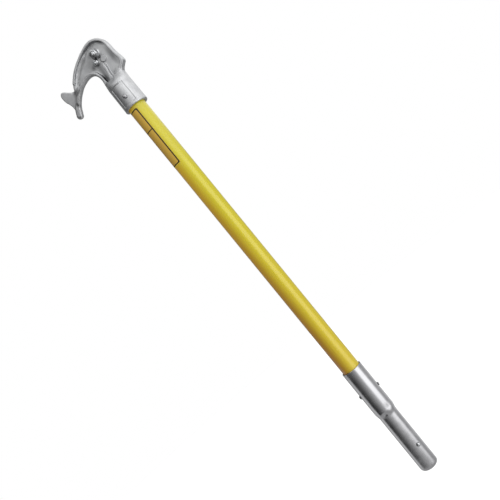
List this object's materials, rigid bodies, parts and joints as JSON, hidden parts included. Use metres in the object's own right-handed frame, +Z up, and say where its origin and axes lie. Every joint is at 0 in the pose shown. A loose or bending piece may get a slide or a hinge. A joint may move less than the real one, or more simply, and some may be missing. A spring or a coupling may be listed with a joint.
{
  "type": "pole saw head section",
  "caption": "Cast saw head with pulling hook and blade clamps on a foam-filled fibreglass tube, with a swaged ferrule and snap button below.",
  "frame": {"origin": "centre of the ferrule's lower end, where the next pole section takes over", "axes": "+Z up along the pole to the saw head, -Y the head's front with its pocket and nuts, -X the way the hook reaches"},
  "size_m": [0.1294, 0.0476, 0.885],
  "materials": {
    "cast_aluminium": "satin",
    "yellow_fibreglass": "gloss",
    "rigid_foam": "matte",
    "seal_rubber": "matte",
    "plated_ferrule": "gloss",
    "zinc_plated_hardware": "satin",
    "rivet_steel": "satin",
    "spring_steel": "satin"
  },
  "bodies": {
    "pole_and_head": {"saw_head": "cast_aluminium", "head_rivet": "rivet_steel", "pole_tube": "yellow_fibreglass", "foam_core": "rigid_foam", "upper_seal": "seal_rubber", "lower_seal": "seal_rubber", "ferrule": "plated_ferrule", "ferrule_rivet": "rivet_steel", "button_spring": "spring_steel", "large_bolt": "zinc_plated_hardware", "large_back_washer": "zinc_plated_hardware", "large_flat_washer": "zinc_plated_hardware", "small_bolt": "zinc_plated_hardware", "small_back_washer": "zinc_plated_hardware"},
    "snap_button": {"snap_button": "zinc_plated_hardware"},
    "large_lock_washer": {"large_lock_washer": "zinc_plated_hardware"},
    "large_nut": {"large_nut": "zinc_plated_hardware"},
    "small_lock_washer": {"small_lock_washer": "zinc_plated_hardware"},
    "small_nut": {"small_nut": "zinc_plated_hardware"}
  },
  "joints": [
    {"name": "button_press", "type": "slide", "parent": "pole_and_head", "child": "snap_button", "axis": [-0.6561, 0.7547, 0], "range_m": [0, 0.004], "stiffness_N_per_m": 600, "springref_m": -0.004, "deforming": ["button_spring"]},
    {"name": "large_nut_lift", "type": "slide", "parent": "pole_and_head", "child": "large_lock_washer", "axis": [0, -1, 0], "range_m": [0, 0.00282]},
    {"name": "large_nut_turn", "type": "hinge", "parent": "large_lock_washer", "child": "large_nut", "pos_m": [0.0008, -0.004, 0.8641], "axis": [0, -1, 0], "range_deg": [0, 720]},
    {"name": "small_nut_lift", "type": "slide", "parent": "pole_and_head", "child": "small_lock_washer", "axis": [0, -1, 0], "range_m": [0, 0.00211]},
    {"name": "small_nut_turn", "type": "hinge", "parent": "small_lock_washer", "child": "small_nut", "pos_m": [-0.0072, -0.002, 0.8523], "axis": [0, -1, 0], "range_deg": [0, 720]}
  ],
  "couplings": [
    {"joint": "large_nut_turn", "follows": "large_nut_lift", "rad_per_m": 4453},
    {"joint": "small_nut_turn", "follows": "small_nut_lift", "rad_per_m": 5937.1}
  ]
}
